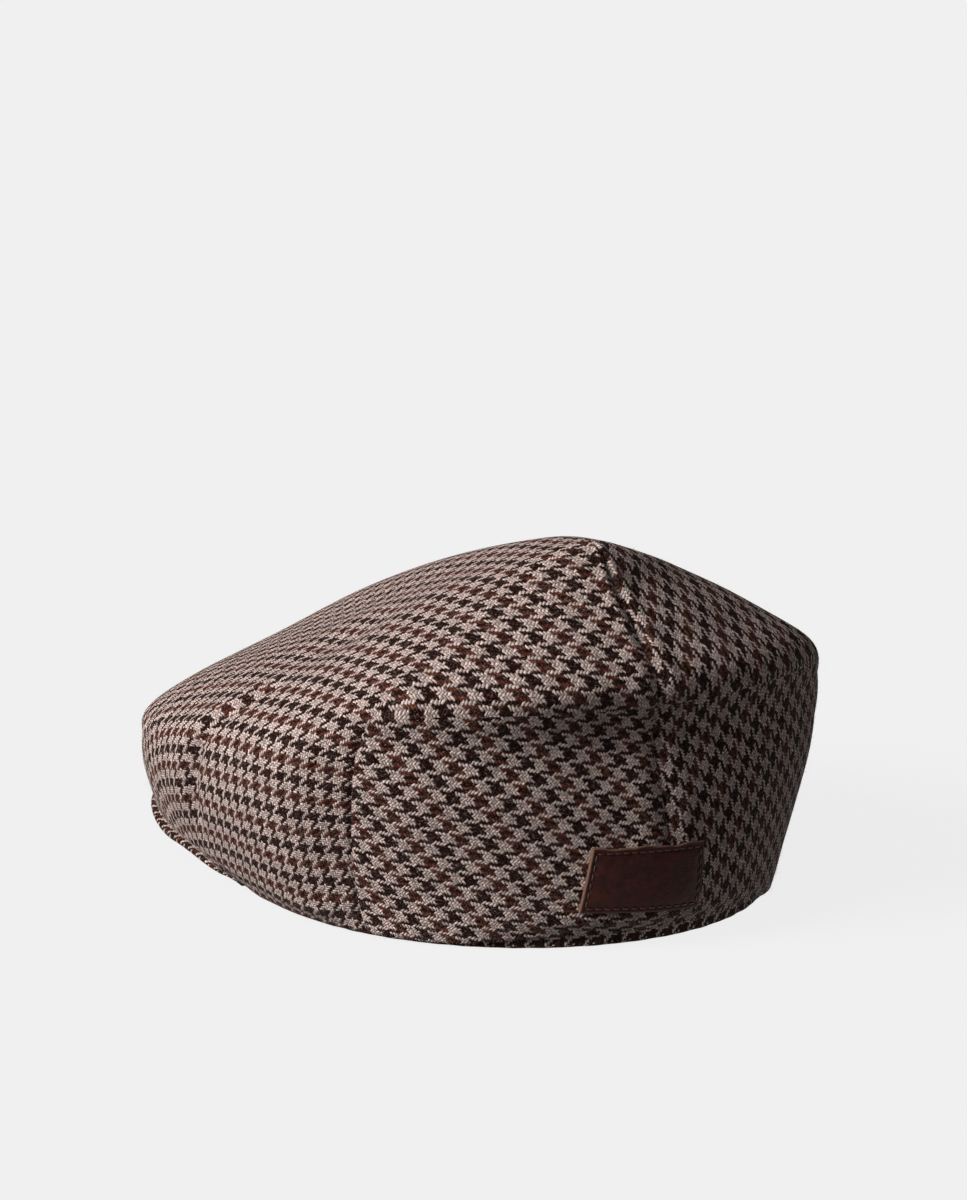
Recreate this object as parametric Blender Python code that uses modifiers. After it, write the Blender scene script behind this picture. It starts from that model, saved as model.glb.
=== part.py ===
"""A flat cap in houndstooth tweed: soft crown, short stiff peak, turned hem and leather patch.

Metres, +Z up. The origin is below the middle of the whole cap, on the plane that the hem rests
on. The peak points along -Y and the wearer's left is +X. The pieces are made round the middle of
the head opening and then moved together. Angles go round that opening from the centre back
towards the wearer's left, so 90 is the left side and 180 the front.
"""
import math

import bmesh
import bpy
from mathutils import Vector

# Driving dimensions
CAP_HEIGHT = 0.1283         # resting plane to the crown's highest point
OPENING_HALF_WIDTH = 0.0860  # head opening inside the hem, a 56 cm head
OPENING_HALF_LENGTH = 0.0920
CLOTH_WALL = 0.0022         # tweed with its backing
HEM_WALL = 0.0025           # tweed turned under twice
HEM_HEIGHT = 0.0090
GAP = 0.0003                # clearance between touching pieces
SIDE_FLARE = 0.0225         # how far the crown's widest place stands out beyond the hem
BACK_FLARE = 0.0130         # how far the crown's lower back does, from the opening's middle
FRONT_FLARE = 0.0490        # how far the crown's front does
PEAK_WALL = 0.0030          # stiff board between two layers of tweed
PEAK_LIP = 0.0055           # how far the peak's edge shows beyond the crown
PEAK_RISE = 0.0100          # how far the peak lifts from its root to its front
PEAK_DROP = 0.0010          # how far its lip turns down below the crown's edge
PEAK_HALF_SPAN = 64         # degrees either side of the front
PATCH_WIDTH = 0.0440
PATCH_HEIGHT = 0.0230
PATCH_WALL = 0.0016
PATCH_ANGLE = 6             # the patch's middle, degrees round from the centre back
PATCH_LEAN = 4              # degrees that its foot leans towards the wearer's left
PATCH_FOOT_HEIGHT = 0.0130  # its lower edge above the resting plane
CROWN_HALF_WIDTH = OPENING_HALF_WIDTH + HEM_WALL + SIDE_FLARE
CROWN_BACK_LENGTH = OPENING_HALF_LENGTH + HEM_WALL + BACK_FLARE
CROWN_FRONT_LENGTH = OPENING_HALF_LENGTH + HEM_WALL + FRONT_FLARE
EDGE_OVERHANG = CLOTH_WALL + GAP  # the crown's edge hangs just outside the hem

# Mesh density
RINGS_PER_ROW = 3
COLUMN_STEP = 6             # degrees
SEAM_COLUMNS = (2, 4)       # extra columns, degrees either side of the centre-back seam
PEAK_COLUMNS = 36
PATCH_CELLS = (12, 7)

# The crown's rings from its lower edge to its top. widest_y is a share of CROWN_BACK_LENGTH and
# says where the ring is widest; half_width, back and front are shares of the three reaches; the
# fullness of a quarter is 2 for an ellipse and more for squarer corners; the heights at the
# back, side and front are shares of CAP_HEIGHT. The edge's own half_width and back reach are
# the hem's and its heights are in EDGE_HEIGHTS, so this table leaves them out.
RING_COLUMNS = ("widest_y", "half_width", "back", "front", "back_full", "front_full",
                "z_back", "z_side", "z_front")
RINGS = (
    # name       widest_y half_width back   front back_full front_full z_back z_side z_front
    ("edge",     (0.000, None,  None,  0.997, 2.0, 3.6, 0.000, 0.000, 0.000)),
    ("fold",     (-0.025, 0.892, 0.980, 0.992, 1.8, 3.1, 0.100, 0.092, 0.165)),
    ("low",      (-0.018, 0.973, 0.970, 0.976, 1.8, 2.85, 0.215, 0.260, 0.258)),
    ("belly",    (0.005, 1.000, 0.900, 0.983, 2.05, 2.7, 0.375, 0.405, 0.297)),
    ("widest",   (0.027, 0.977, 0.817, 1.000, 2.35, 2.65, 0.533, 0.520, 0.346)),
    ("shoulder", (0.124, 0.838, 0.742, 0.972, 2.55, 2.6, 0.671, 0.645, 0.460)),
    ("high",     (0.177, 0.635, 0.580, 0.882, 2.3, 2.35, 0.785, 0.763, 0.577)),
    ("upper",    (0.229, 0.414, 0.406, 0.700, 1.9, 2.2, 0.886, 0.865, 0.723)),
    ("crest",    (0.311, 0.274, 0.264, 0.406, 1.75, 2.2, 0.948, 0.922, 0.870)),
    ("tip",      (0.375, 0.133, 0.140, 0.119, 1.6, 2.2, 0.989, 0.970, 0.972)),
    ("apex",     (0.445, 0.001, 0.001, 0.001, 2.0, 2.0, 1.000, 1.000, 1.000)),
)

# The height of the crown's edge round the cap: share is of HEM_HEIGHT and rise of PEAK_RISE. It
# clears the hem at the back, all but touches the resting plane at the sides and lies on the peak,
# which lifts towards its front.
EDGE_HEIGHTS = (
    # name         degrees share rise
    ("back",       (0, 0.51, 0.0)),
    ("back_bend",  (22, 0.51, 0.0)),
    ("side",       (46, 0.17, 0.0)),
    ("side_front", (98, 0.17, 0.0)),
    ("peak_end",   (115, 0.53, 0.0)),
    ("over_peak",  (133, 0.62, 0.45)),
    ("corner",     (152, 0.62, 1.0)),
    ("front",      (180, 0.62, 1.0)),
)

# Sewn lines up the crown, from a foot to a tip. Levels count rings from the edge, so 0 is the
# edge and 10 the apex. groove and proud are shares of CLOTH_WALL: how far the line is drawn in,
# and how far the cloth ahead of it stands out. spread is in degrees.
SEAMS = (
    # name          foot_angle foot_level tip_angle tip_level groove proud spread
    ("centre_back", (0, 0.0, 0, 9.5, 0.35, 0.00, 2.2)),
    ("side_dart",   (63, 0.0, 60, 4.6, 0.55, 0.70, 6.0)),
    ("front_tuck",  (124, 1.8, 114, 5.2, 0.80, 0.30, 5.0)),
)

# Soft places between the seams: push is a share of CLOTH_WALL, out when positive.
DENTS = (
    # name                angle level angle_spread level_spread push
    ("hip_over_dart",     (60, 4.7, 9, 0.6, 1.00)),
    ("hollow_over_tuck",  (114, 6.0, 12, 0.7, -1.40)),
    ("front_corner",      (138, 4.2, 14, 1.0, 0.60)),
    ("hollow_behind_hip", (38, 5.6, 14, 0.9, -0.70)),
    ("slack_side",        (100, 2.0, 12, 0.9, -0.20)),
)

# The peak from its root to its lip. share runs from the hem to the crown's edge, lip is a share
# of PEAK_LIP beyond it, and drop is a share of PEAK_DROP below that edge.
PEAK_ROWS = (
    # name        share lip drop
    ("root",      (0.00, 0.0, None)),
    ("inner",     (0.35, 0.0, None)),
    ("under_edge", (0.96, 0.0, 0.0)),
    ("shoulder",  (1.00, 0.5, 0.3)),
    ("lip",       (1.00, 1.0, 1.0)),
)

TWEED_COLOUR = (0.24, 0.17, 0.15, 1.0)
HEM_COLOUR = (0.10, 0.07, 0.06, 1.0)
LEATHER_COLOUR = (0.035, 0.014, 0.012, 1.0)


def clear_scene():
    for old in list(bpy.data.objects):
        bpy.data.objects.remove(old, do_unlink=True)


def smooth_value(before, start, end, after, t):
    """Catmull-Rom value between start and end."""
    return 0.5 * (2 * start + (end - before) * t
                  + (2 * before - 5 * start + 4 * end - after) * t * t
                  + (3 * start - before - 3 * end + after) * t ** 3)


def ring_sizes():
    """The ring table in metres, with the edge's width and back reach taken from the hem."""
    sizes = []
    over_hem = HEM_WALL + EDGE_OVERHANG
    for _, (widest_y, half_width, back, front, *shape) in RINGS:
        if half_width is None:
            wide = OPENING_HALF_WIDTH + over_hem
            long = OPENING_HALF_LENGTH + over_hem - widest_y * CROWN_BACK_LENGTH
        else:
            wide, long = half_width * CROWN_HALF_WIDTH, back * CROWN_BACK_LENGTH
        sizes.append((widest_y * CROWN_BACK_LENGTH, wide, long, front * CROWN_FRONT_LENGTH, *shape))
    return sizes


SIZES = ring_sizes()


def ring_at(level):
    """The ring's sizes at any level, as a dictionary."""
    last = len(SIZES) - 1
    index = min(int(level), last - 1)
    part = level - index
    start, end = SIZES[index], SIZES[index + 1]
    before = SIZES[index - 1] if index else [2 * a - b for a, b in zip(start, end)]
    after = SIZES[index + 2] if index + 2 <= last else [2 * b - a for a, b in zip(start, end)]
    values = [smooth_value(*four, part) for four in zip(before, start, end, after)]
    return dict(zip(RING_COLUMNS, values))


def quarter_reach(angle, half_width, back, front, back_full, front_full):
    """Distance from a ring's middle to its outline, for rounded quarters of two reaches."""
    across, along = abs(math.sin(angle)), math.cos(angle)
    reach, full = (back, back_full) if along > 0 else (front, front_full)
    total = (across / half_width) ** full + (abs(along) / reach) ** full
    return total ** (-1 / full)


def round_height(angle, back, side, front):
    """A height that passes smoothly through its values at the back, side and front."""
    mean = (back + front) / 4 + side / 2
    return (mean + (back - front) / 2 * math.cos(angle)
            + (mean - side) * math.cos(2 * angle))


def edge_height(degrees, lift=PEAK_RISE):
    """The height of the crown's edge, eased between the places in EDGE_HEIGHTS."""
    side = abs((degrees + 180) % 360 - 180)
    places = [place for _, place in EDGE_HEIGHTS]
    for (start, low, low_rise), (end, high, high_rise) in zip(places, places[1:]):
        if side <= end:
            part = fade(side, start, end)
            return (HEM_HEIGHT * (low + (high - low) * part)
                    + lift * (low_rise + (high_rise - low_rise) * part))
    return HEM_HEIGHT * places[-1][1] + lift * places[-1][2]


def plain_crown(level, degrees):
    """A point of the crown's outside before its seams and dents."""
    ring = ring_at(level)
    angle = math.radians(degrees)
    reach = quarter_reach(angle, ring["half_width"], ring["back"], ring["front"],
                          ring["back_full"], ring["front_full"])
    height = CAP_HEIGHT * round_height(angle, ring["z_back"], ring["z_side"], ring["z_front"])
    height += edge_height(degrees) * (1 - fade(level, 0.0, 1.0))
    return Vector((reach * math.sin(angle), ring["widest_y"] + reach * math.cos(angle), height))


def outward(level, degrees):
    """Unit normal of the plain crown, pointing out of the cap."""
    step = 0.05
    low, high = max(level - step, 0), min(level + step, len(RINGS) - 1.02)
    round_the_cap = plain_crown(level, degrees + 1) - plain_crown(level, degrees - 1)
    up_the_cap = plain_crown(high, degrees) - plain_crown(low, degrees)
    return up_the_cap.cross(round_the_cap).normalized()


def bump(distance, spread):
    return math.exp(-(distance / spread) ** 2)


def fade(value, start, end):
    """0 before start, 1 after end, with a smooth ramp between them."""
    part = min(max((value - start) / (end - start), 0), 1)
    return part * part * (3 - 2 * part)


def cloth_push(level, degrees):
    """How far seams and dents move the cloth outwards, the same on both sides of the cap."""
    side = abs((degrees + 180) % 360 - 180)
    push = 0.0
    for _, (foot, foot_level, tip, tip_level, groove, proud, spread) in SEAMS:
        along = (level - foot_level) / (tip_level - foot_level)
        line = foot + (tip - foot) * min(max(along, 0), 1)
        ends = fade(tip_level - level, -0.2, 0.8)
        if foot_level:
            ends *= fade(level - foot_level, -0.3, 0.7)
        ahead = side - line
        push -= ends * groove * bump(ahead, spread)
        push += ends * proud * bump(ahead - 2 * spread, 1.5 * spread)
    for _, (angle, at_level, angle_spread, level_spread, amount) in DENTS:
        push += amount * bump(side - angle, angle_spread) * bump(level - at_level, level_spread)
    return push * CLOTH_WALL * fade(level, 0.0, 0.8)


def crown_point(level, degrees):
    return plain_crown(level, degrees) + outward(level, degrees) * cloth_push(level, degrees)


def column_angles():
    """Angles round the cap, with closer columns beside the centre-back seam."""
    angles = set(range(0, 360, COLUMN_STEP))
    for extra in SEAM_COLUMNS:
        angles |= {extra, 360 - extra}
    return sorted(angles)


def add_object(name, mesh_data, material, collection):
    mesh = bpy.data.meshes.new(name)
    mesh_data.normal_update()
    mesh_data.to_mesh(mesh)
    mesh_data.free()
    mesh.shade_smooth()
    mesh.set_sharp_from_angle(angle=math.radians(50))
    mesh.materials.append(material)
    placed = bpy.data.objects.new(name, mesh)
    collection.objects.link(placed)
    return placed


def add_wall(placed, thickness, offset=-1.0):
    """Thickness for an open surface, inwards from its outer face."""
    wall = placed.modifiers.new("wall", "SOLIDIFY")
    wall.thickness = thickness
    wall.offset = offset
    wall.use_even_offset = True
    return wall


def loft(rows, closed):
    """An open surface through rows of points, its faces turned out of a rising, closed loft."""
    surface = bmesh.new()
    rings = [[surface.verts.new(point) for point in row] for row in rows]
    for lower, upper in zip(rings, rings[1:]):
        count = len(lower)
        for j in range(count if closed else count - 1):
            k = (j + 1) % count
            surface.faces.new((lower[j], upper[j], upper[k], lower[k]))
    return surface, rings


def make_crown(material, collection):
    angles = column_angles()
    last = len(RINGS) - 1
    levels = [i / RINGS_PER_ROW for i in range(last * RINGS_PER_ROW)]
    rows = [[crown_point(level, angle) for angle in angles] for level in levels]
    surface, rings = loft(rows, closed=True)
    apex = surface.verts.new((0, SIZES[-1][0], CAP_HEIGHT))
    top = rings[-1]
    for j in range(len(top)):
        surface.faces.new((top[j], apex, top[(j + 1) % len(top)]))
    placed = add_object("crown", surface, material, collection)
    add_wall(placed, CLOTH_WALL)
    return placed


def hem_reach(angle, extra=0.0):
    """The head opening's outline, moved out by extra."""
    half_width = OPENING_HALF_WIDTH + extra
    half_length = OPENING_HALF_LENGTH + extra
    return quarter_reach(angle, half_width, half_length, half_length, 2, 2)


def make_hem(material, collection):
    rows = [[], []]
    for degrees in column_angles():
        angle = math.radians(degrees)
        reach = hem_reach(angle, HEM_WALL)
        x, y = reach * math.sin(angle), reach * math.cos(angle)
        rows[0].append((x, y, 0))
        rows[1].append((x, y, HEM_HEIGHT))
    surface, _ = loft(rows, closed=True)
    placed = add_object("hem_band", surface, material, collection)
    add_wall(placed, HEM_WALL)
    return placed


def peak_point(row, degrees, tip):
    """A point on the peak's upper face; tip is 0 at its two ends and 1 at the front."""
    share, lip, drop = row
    angle = math.radians(degrees)
    root = hem_reach(angle, HEM_WALL + GAP)
    edge = plain_crown(0, degrees)
    edge.z -= 2 * GAP
    root_height = edge_height(degrees, lift=0.0) - 2 * GAP
    root_point = Vector((root * math.sin(angle), root * math.cos(angle), root_height))
    place = root_point.lerp(edge, share)
    sideways = Vector((edge.x, edge.y, 0)).normalized()
    place += sideways * (lip * PEAK_LIP * tip)
    if drop is not None:
        place.z = edge.z - PEAK_DROP * drop * tip
    return place


def make_peak(material, collection):
    rows = []
    for _, row in PEAK_ROWS:
        points = []
        for j in range(PEAK_COLUMNS + 1):
            turn = 2 * j / PEAK_COLUMNS - 1
            tip = fade(1 - abs(turn), -0.1, 0.6)
            points.append(peak_point(row, 180 + PEAK_HALF_SPAN * turn, tip))
        rows.append(points)
    surface, _ = loft(rows[::-1], closed=False)
    placed = add_object("peak", surface, material, collection)
    add_wall(placed, PEAK_WALL)
    return placed


def level_at_height(degrees, height):
    """The crown level that has this height at this angle."""
    low, high = 0.0, 6.0
    for _ in range(30):
        middle = (low + high) / 2
        if plain_crown(middle, degrees).z < height:
            low = middle
        else:
            high = middle
    return low


def make_patch(material, collection):
    columns, levels = PATCH_CELLS
    reach = plain_crown(level_at_height(PATCH_ANGLE, PATCH_FOOT_HEIGHT), PATCH_ANGLE).xy.length
    lean = math.radians(PATCH_LEAN)
    rows = []
    for i in range(levels + 1):
        up = PATCH_HEIGHT * i / levels
        points = []
        for j in range(columns + 1):
            across = PATCH_WIDTH * (j / columns - 0.5)
            left = across * math.cos(lean) - up * math.sin(lean)
            height = PATCH_FOOT_HEIGHT + up * math.cos(lean) + across * math.sin(lean)
            degrees = PATCH_ANGLE + math.degrees(left / reach)
            level = level_at_height(degrees, height)
            face = crown_point(level, degrees)
            points.append(face + outward(level, degrees) * (GAP + PATCH_WALL + CLOTH_WALL * 0.35))
        rows.append(points)
    surface, _ = loft(rows, closed=False)
    placed = add_object("patch", surface, material, collection)
    add_wall(placed, PATCH_WALL)
    return placed


def make_material(name, colour, roughness):
    material = bpy.data.materials.new(name)
    material.use_nodes = True
    shader = material.node_tree.nodes["Principled BSDF"]
    shader.inputs["Base Color"].default_value = colour
    shader.inputs["Roughness"].default_value = roughness
    shader.inputs["Metallic"].default_value = 0.0
    return material


def centre_along_y(pieces):
    """Move the pieces together so that the cap's length is centred on the origin."""
    bpy.context.view_layer.update()
    built = bpy.context.evaluated_depsgraph_get()
    ends = [corner[1] for piece in pieces for corner in piece.evaluated_get(built).bound_box]
    for piece in pieces:
        piece.location.y = -(min(ends) + max(ends)) / 2


def main():
    clear_scene()
    collection = bpy.data.collections.new("flat_cap")
    bpy.context.scene.collection.children.link(collection)
    tweed = make_material("houndstooth_tweed", TWEED_COLOUR, 0.95)
    hem_cloth = make_material("turned_tweed_hem", HEM_COLOUR, 0.95)
    leather = make_material("brown_leather", LEATHER_COLOUR, 0.55)
    centre_along_y([
        make_crown(tweed, collection),
        make_hem(hem_cloth, collection),
        make_peak(tweed, collection),
        make_patch(leather, collection),
    ])


main()
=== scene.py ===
import math

import bpy
import numpy as np
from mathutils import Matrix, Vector


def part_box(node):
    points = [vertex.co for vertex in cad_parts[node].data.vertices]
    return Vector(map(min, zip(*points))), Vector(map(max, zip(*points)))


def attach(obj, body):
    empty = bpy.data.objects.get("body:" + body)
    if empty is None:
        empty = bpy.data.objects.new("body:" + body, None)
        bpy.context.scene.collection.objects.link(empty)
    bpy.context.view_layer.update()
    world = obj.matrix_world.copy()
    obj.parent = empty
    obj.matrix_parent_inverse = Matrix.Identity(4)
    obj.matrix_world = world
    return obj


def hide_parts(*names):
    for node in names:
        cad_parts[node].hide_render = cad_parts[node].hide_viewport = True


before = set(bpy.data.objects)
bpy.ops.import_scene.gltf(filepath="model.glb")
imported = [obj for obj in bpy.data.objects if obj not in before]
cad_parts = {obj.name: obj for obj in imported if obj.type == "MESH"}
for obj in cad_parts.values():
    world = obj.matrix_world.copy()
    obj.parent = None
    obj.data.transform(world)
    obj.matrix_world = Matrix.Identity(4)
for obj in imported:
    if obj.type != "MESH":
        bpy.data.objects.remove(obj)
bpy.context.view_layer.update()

# Sizes that the frame gives, in metres: the head opening's middle, the hem and the cap's height
hem_low, hem_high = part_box("hem_band")
_, crown_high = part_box("crown")
MIDDLE = np.array([0.0, (hem_low[1] + hem_high[1]) / 2, 0.0])
CAP_HEIGHT = crown_high[2]
HEM_HALF_WIDTH = hem_high[0]
HEM_HALF_LENGTH = (hem_high[1] - hem_low[1]) / 2
HEM_HEIGHT = hem_high[2]

# Sizes that the cap is cut to
CLOTH_WALL = 0.0022
HEM_WALL = 0.0025
GAP = 0.0003
EDGE_OVERHANG = CLOTH_WALL + GAP
CROWN_HALF_WIDTH = HEM_HALF_WIDTH + 0.0225
CROWN_BACK_LENGTH = HEM_HALF_LENGTH + 0.0130
CROWN_FRONT_LENGTH = HEM_HALF_LENGTH + 0.0490
PEAK_WALL = 0.0030
PEAK_LIP = 0.0055
PEAK_RISE = 0.0100
PEAK_DROP = 0.0010
PEAK_HALF_SPAN = 64
PATCH_WIDTH = 0.0415
PATCH_HEIGHT = 0.0213
PATCH_WALL = 0.0016
PATCH_ANGLE = 6
PATCH_LEAN = 3
PATCH_SKEW = 0.13           # how far its sides lean besides, as it has pulled out of square
PATCH_FOOT_HEIGHT = 0.0130

# The crown's rings from its lower edge to its apex: their reaches are shares of the crown's
# half width, back and front lengths, and their heights are shares of the cap's
RINGS = (
    # name       widest_y half_width back   front back_full front_full z_back z_side z_front
    ("edge",     (0.000, None,  None,  0.997, 2.0, 3.6, 0.000, 0.000, 0.000)),
    ("fold",     (-0.025, 0.892, 0.980, 0.992, 1.8, 3.1, 0.100, 0.092, 0.165)),
    ("low",      (-0.018, 0.973, 0.970, 0.976, 1.8, 2.85, 0.215, 0.260, 0.258)),
    ("belly",    (0.005, 1.000, 0.900, 0.983, 2.05, 2.7, 0.375, 0.405, 0.297)),
    ("widest",   (0.027, 0.977, 0.817, 1.000, 2.35, 2.65, 0.533, 0.520, 0.346)),
    ("shoulder", (0.124, 0.838, 0.742, 0.972, 2.55, 2.6, 0.671, 0.645, 0.460)),
    ("high",     (0.177, 0.635, 0.580, 0.882, 2.3, 2.35, 0.785, 0.763, 0.577)),
    ("upper",    (0.229, 0.414, 0.406, 0.700, 1.9, 2.2, 0.886, 0.865, 0.723)),
    ("crest",    (0.311, 0.274, 0.264, 0.406, 1.75, 2.2, 0.948, 0.922, 0.870)),
    ("tip",      (0.375, 0.133, 0.140, 0.119, 1.6, 2.2, 0.989, 0.970, 0.972)),
    ("apex",     (0.445, 0.001, 0.001, 0.001, 2.0, 2.0, 1.000, 1.000, 1.000)),
)
APEX_LEVEL = len(RINGS) - 1

# The height of the crown's edge round the cap: a share of the hem's and of the peak's rise
EDGE_HEIGHTS = (
    # name         degrees share rise
    ("back",       (0, 0.51, 0.0)),
    ("back_bend",  (22, 0.51, 0.0)),
    ("side",       (46, 0.17, 0.0)),
    ("side_front", (98, 0.17, 0.0)),
    ("peak_end",   (115, 0.53, 0.0)),
    ("over_peak",  (133, 0.62, 0.45)),
    ("corner",     (152, 0.62, 1.0)),
    ("front",      (180, 0.62, 1.0)),
)

# Sewn lines: where they run, how deep the thread pulls them in and how far the cloth stands
# proud ahead of them, both in shares of the cloth's wall, and their width in degrees
SEAMS = (
    # name          foot_angle foot_level tip_angle tip_level groove proud spread
    ("centre_back", (0, 0.0, 0, 9.5, 0.30, 0.35, 2.2)),
    ("side_dart",   (63, 0.0, 60, 4.6, 0.55, 0.70, 6.0)),
    ("front_tuck",  (109, 1.4, 97, 5.3, 1.30, 0.40, 2.4)),
)
SIDE_DART = dict(SEAMS)["side_dart"]
FRONT_TUCK = dict(SEAMS)["front_tuck"]
DART_TIP_LEVEL = SIDE_DART[3]
STITCH_DEPTH = 0.0007       # the sharp line of the thread in the bottom of each seam
STITCH_SPREAD = 0.45        # degrees

# Soft places between the seams, in shares of the cloth's wall
DENTS = (
    # name                angle level angle_spread level_spread push
    ("hip_over_dart",     (60, 4.7, 9, 0.6, 1.00)),
    ("hollow_over_tuck",  (101, 6.0, 12, 0.7, -1.40)),
    ("front_corner",      (138, 4.2, 14, 1.0, 0.60)),
    ("hollow_behind_hip", (38, 5.6, 14, 0.9, -0.70)),
    ("slack_side",        (100, 2.0, 12, 0.9, -0.20)),
)

# The weave: four dark and four light threads each way in a two-up, two-down twill
THREAD_PITCH = 0.00083      # metres, so one check is 6.6 mm
THREADS_IN_CHECK = 8


def bump(distance, spread):
    """A smooth hump, 1 high where the distance is nothing."""
    return np.exp(-(distance / spread) ** 2)


def fade(value, start, end):
    """An eased step from 0 at start to 1 at end."""
    part = np.clip((value - start) / (end - start), 0, 1)
    return part * part * (3 - 2 * part)


def unit(vectors):
    return vectors / np.linalg.norm(vectors, axis=-1, keepdims=True)


def from_back(degrees):
    """How far round from the centre back, the same on both sides."""
    return np.abs((degrees + 180) % 360 - 180)


def spun(places, angle):
    """Flat places turned about the origin."""
    x, y = places[..., 0], places[..., 1]
    return np.stack([x * np.cos(angle) - y * np.sin(angle),
                     x * np.sin(angle) + y * np.cos(angle)], -1)


def ring_sizes():
    """The ring table in metres, with the edge's width and back reach taken from the hem."""
    sizes = []
    for _, (widest_y, half_width, back, front, *shape) in RINGS:
        middle = widest_y * CROWN_BACK_LENGTH
        if half_width is None:
            wide, long = HEM_HALF_WIDTH + EDGE_OVERHANG, HEM_HALF_LENGTH + EDGE_OVERHANG - middle
        else:
            wide, long = half_width * CROWN_HALF_WIDTH, back * CROWN_BACK_LENGTH
        sizes.append((middle, wide, long, front * CROWN_FRONT_LENGTH, *shape))
    sizes = np.array(sizes)
    before_edge = 2 * sizes[0] - sizes[1]
    after_apex = 2 * sizes[-1] - sizes[-2]
    return np.vstack([before_edge, sizes, after_apex])


SIZES = ring_sizes()


def ring_at(level):
    """The ring's nine sizes at each level, on a smooth curve through the rings."""
    index = np.minimum(level.astype(int), APEX_LEVEL - 1)
    t = (level - index)[..., None]
    before, start, end, after = (SIZES[index + k] for k in range(4))
    values = 0.5 * (2 * start + (end - before) * t
                    + (2 * before - 5 * start + 4 * end - after) * t * t
                    + (3 * start - before - 3 * end + after) * t ** 3)
    return np.moveaxis(values, -1, 0)


def quarter_reach(angle, half_width, back, front, back_full, front_full):
    """The reach of an oval at an angle. It is fuller than an ellipse where full is over 2."""
    across, along = np.abs(np.sin(angle)), np.cos(angle)
    reach = np.where(along > 0, back, front)
    full = np.where(along > 0, back_full, front_full)
    return ((across / half_width) ** full + (np.abs(along) / reach) ** full) ** (-1 / full)


def round_height(angle, back, side, front):
    """A height that runs smoothly round the cap through its back, side and front ones."""
    mean = (back + front) / 4 + side / 2
    return mean + (back - front) / 2 * np.cos(angle) + (mean - side) * np.cos(2 * angle)


def edge_height(degrees, lift=PEAK_RISE):
    """The height of the crown's edge, eased between the places in EDGE_HEIGHTS."""
    side = from_back(degrees)
    places = np.array([place for _, place in EDGE_HEIGHTS])
    index = np.clip(np.searchsorted(places[:, 0], side) - 1, 0, len(places) - 2)
    start, end = places[index], places[index + 1]
    part = fade(side, start[..., 0], end[..., 0])[..., None]
    share = start[..., 1:] + (end - start)[..., 1:] * part
    return share @ np.array([HEM_HEIGHT, lift])


def plain_crown(level, degrees):
    """Points of the crown's outside before its seams and dents."""
    level, degrees = np.broadcast_arrays(np.asarray(level, float), np.asarray(degrees, float))
    widest_y, wide, back, front, back_full, front_full, z_back, z_side, z_front = ring_at(level)
    angle = np.radians(degrees)
    reach = quarter_reach(angle, wide, back, front, back_full, front_full)
    height = CAP_HEIGHT * round_height(angle, z_back, z_side, z_front)
    height = height + edge_height(degrees) * (1 - fade(level, 0.0, 1.0))
    place = np.stack([reach * np.sin(angle), widest_y + reach * np.cos(angle), height], -1)
    return place + MIDDLE


def outward(level, degrees):
    """Unit normals of the plain crown, pointing out of the cap."""
    level = np.asarray(level, float)
    near = 0.05
    low, high = np.maximum(level - near, 0), np.minimum(level + near, APEX_LEVEL - 0.02)
    round_the_cap = plain_crown(level, degrees + 1) - plain_crown(level, degrees - 1)
    up_the_cap = plain_crown(high, degrees) - plain_crown(low, degrees)
    return unit(np.cross(up_the_cap, round_the_cap))


def seam_angle(level, foot, foot_level, tip, tip_level):
    """The angle at which a seam passes a level."""
    along = np.clip((level - foot_level) / (tip_level - foot_level), 0, 1)
    return foot + (tip - foot) * along


def cloth_push(level, degrees):
    """How far seams, dents and the slack of the cloth move it outwards, in metres."""
    side = from_back(degrees)
    push = np.zeros(np.broadcast(level, degrees).shape)
    stitch = np.zeros_like(push)
    for _, (foot, foot_level, tip, tip_level, groove, proud, spread) in SEAMS:
        ends = fade(tip_level - level, -0.2, 0.8)
        if foot_level:
            ends = ends * fade(level - foot_level, -0.3, 0.7)
        ahead = side - seam_angle(level, foot, foot_level, tip, tip_level)
        push -= ends * groove * bump(ahead, spread)
        push += ends * proud * bump(ahead - 2 * spread, 1.5 * spread)
        if not foot_level:
            stitch += ends * bump(ahead, STITCH_SPREAD)
    for _, (angle, at_level, angle_spread, level_spread, amount) in DENTS:
        push += amount * bump(side - angle, angle_spread) * bump(level - at_level, level_spread)
    return push * CLOTH_WALL * fade(level, 0.0, 0.8) - stitch * STITCH_DEPTH


def crown_point(level, degrees, depth=0.0):
    """A point of the dressed crown, sunk under its outer face by depth."""
    return plain_crown(level, degrees) + outward(level, degrees) * (
        cloth_push(level, degrees) - depth)[..., None]


def new_mesh(name, points, faces):
    mesh = bpy.data.meshes.new(name)
    mesh.from_pydata([tuple(p) for p in points], [], faces)
    mesh.validate()
    mesh.shade_smooth()
    placed = bpy.data.objects.new(name, mesh)
    bpy.context.scene.collection.objects.link(placed)
    return placed


def set_uv(placed, name, corner_uv):
    layer = placed.data.uv_layers.new(name=name)
    layer.data.foreach_set("uv", np.asarray(corner_uv, np.float32).ravel())


# The crown's grid. Its columns follow the side dart and the front tuck, so that each of them is
# a straight column: a column's number is the angle that it has at the tip of its seam.
DART_COLUMN = SIDE_DART[2]
TUCK_COLUMN = FRONT_TUCK[2]
TOP_LEVEL = APEX_LEVEL - 0.06
COARSE_COLUMN_STEP = 3      # degrees
COARSE_LEVEL_STEP = 0.2
FINE_COLUMN_STEP = 1.0
FINE_SEAM_STEPS = (0.2, 0.4, 0.65, 1.3, 1.6, 2.4)
FINE_LEVEL_STEP = 0.1
INNER_ROW_STEP = 4          # the inner face has every fourth row of the outer one


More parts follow.
